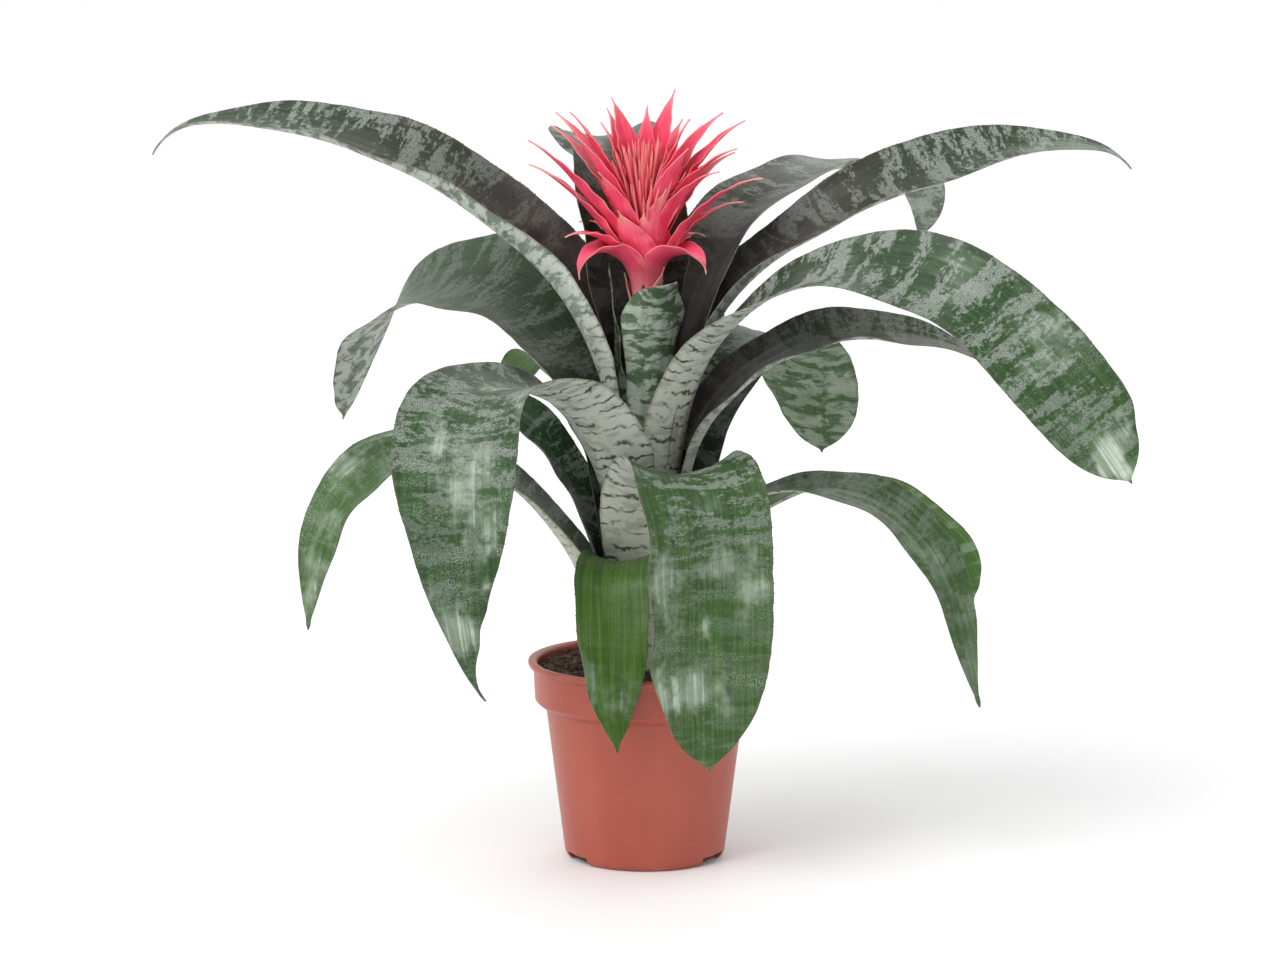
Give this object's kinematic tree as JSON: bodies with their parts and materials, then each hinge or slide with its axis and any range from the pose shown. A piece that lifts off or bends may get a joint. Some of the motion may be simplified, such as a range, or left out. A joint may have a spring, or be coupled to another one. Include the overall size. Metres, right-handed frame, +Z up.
{
  "type": "potted bromeliad",
  "caption": "Silver-vase bromeliad in a tapered nursery pot: overlapping strap leaves arch out of a funnel rosette round a spiny pink flower head on a short stalk.",
  "frame": {"origin": "centre of the flat underside of the pot, on the surface that it stands on", "axes": "+Z up; -Y is the front of the plant, where the two leaves hang over the rim; +X is its right from the front"},
  "size_m": [0.5151, 0.3002, 0.3943],
  "materials": {
    "terracotta_plastic": "satin",
    "potting_soil": "matte",
    "leaf_grey": "satin",
    "leaf_green": "satin",
    "stem_pale": "matte",
    "stalk_pink": "satin",
    "bract_pink": "satin",
    "floret_coral": "satin"
  },
  "bodies": {
    "root": {"bract_01": "bract_pink", "bract_02": "bract_pink", "bract_03": "bract_pink", "bract_04": "bract_pink", "bract_05": "bract_pink", "bract_06": "bract_pink", "bract_07": "bract_pink", "bract_08": "bract_pink", "bract_09": "bract_pink", "bract_10": "bract_pink", "bract_11": "bract_pink", "bract_12": "bract_pink", "bract_13": "bract_pink", "bract_14": "bract_pink", "bract_15": "bract_pink", "bract_16": "bract_pink", "bract_17": "bract_pink", "bract_18": "bract_pink", "bract_19": "bract_pink", "bract_20": "bract_pink", "bract_21": "bract_pink", "bract_22": "bract_pink", "floret_01": "floret_coral", "floret_02": "floret_coral", "floret_03": "floret_coral", "floret_04": "floret_coral", "floret_05": "floret_coral", "floret_06": "floret_coral", "floret_07": "floret_coral", "floret_08": "floret_coral", "floret_09": "floret_coral", "floret_10": "floret_coral", "flower_stalk": "stalk_pink", "leaf_01_left_low": "leaf_green", "leaf_02_right_low": "leaf_green", "leaf_03_front_low": "leaf_green", "leaf_04_back_low": "leaf_green", "leaf_05_right_droop": "leaf_green", "leaf_06_left_hidden": "leaf_grey", "leaf_07_front_wide": "leaf_green", "leaf_08_back_right": "leaf_grey", "leaf_09_back_left": "leaf_green", "leaf_10_right_mid": "leaf_grey", "leaf_11_left_arch": "leaf_green", "leaf_12_back_mid": "leaf_grey", "leaf_13_left_twist": "leaf_grey", "leaf_14_right_wide": "leaf_green", "leaf_15_left_long": "leaf_grey", "leaf_16_right_long": "leaf_grey", "leaf_17_back_right_high": "leaf_grey", "leaf_18_back_upright": "leaf_grey", "leaf_19_inner_left": "leaf_grey", "leaf_20_inner_front": "leaf_grey", "pot": "terracotta_plastic", "potting_soil": "potting_soil", "root_crown": "stem_pale"}
  },
  "joints": []
}
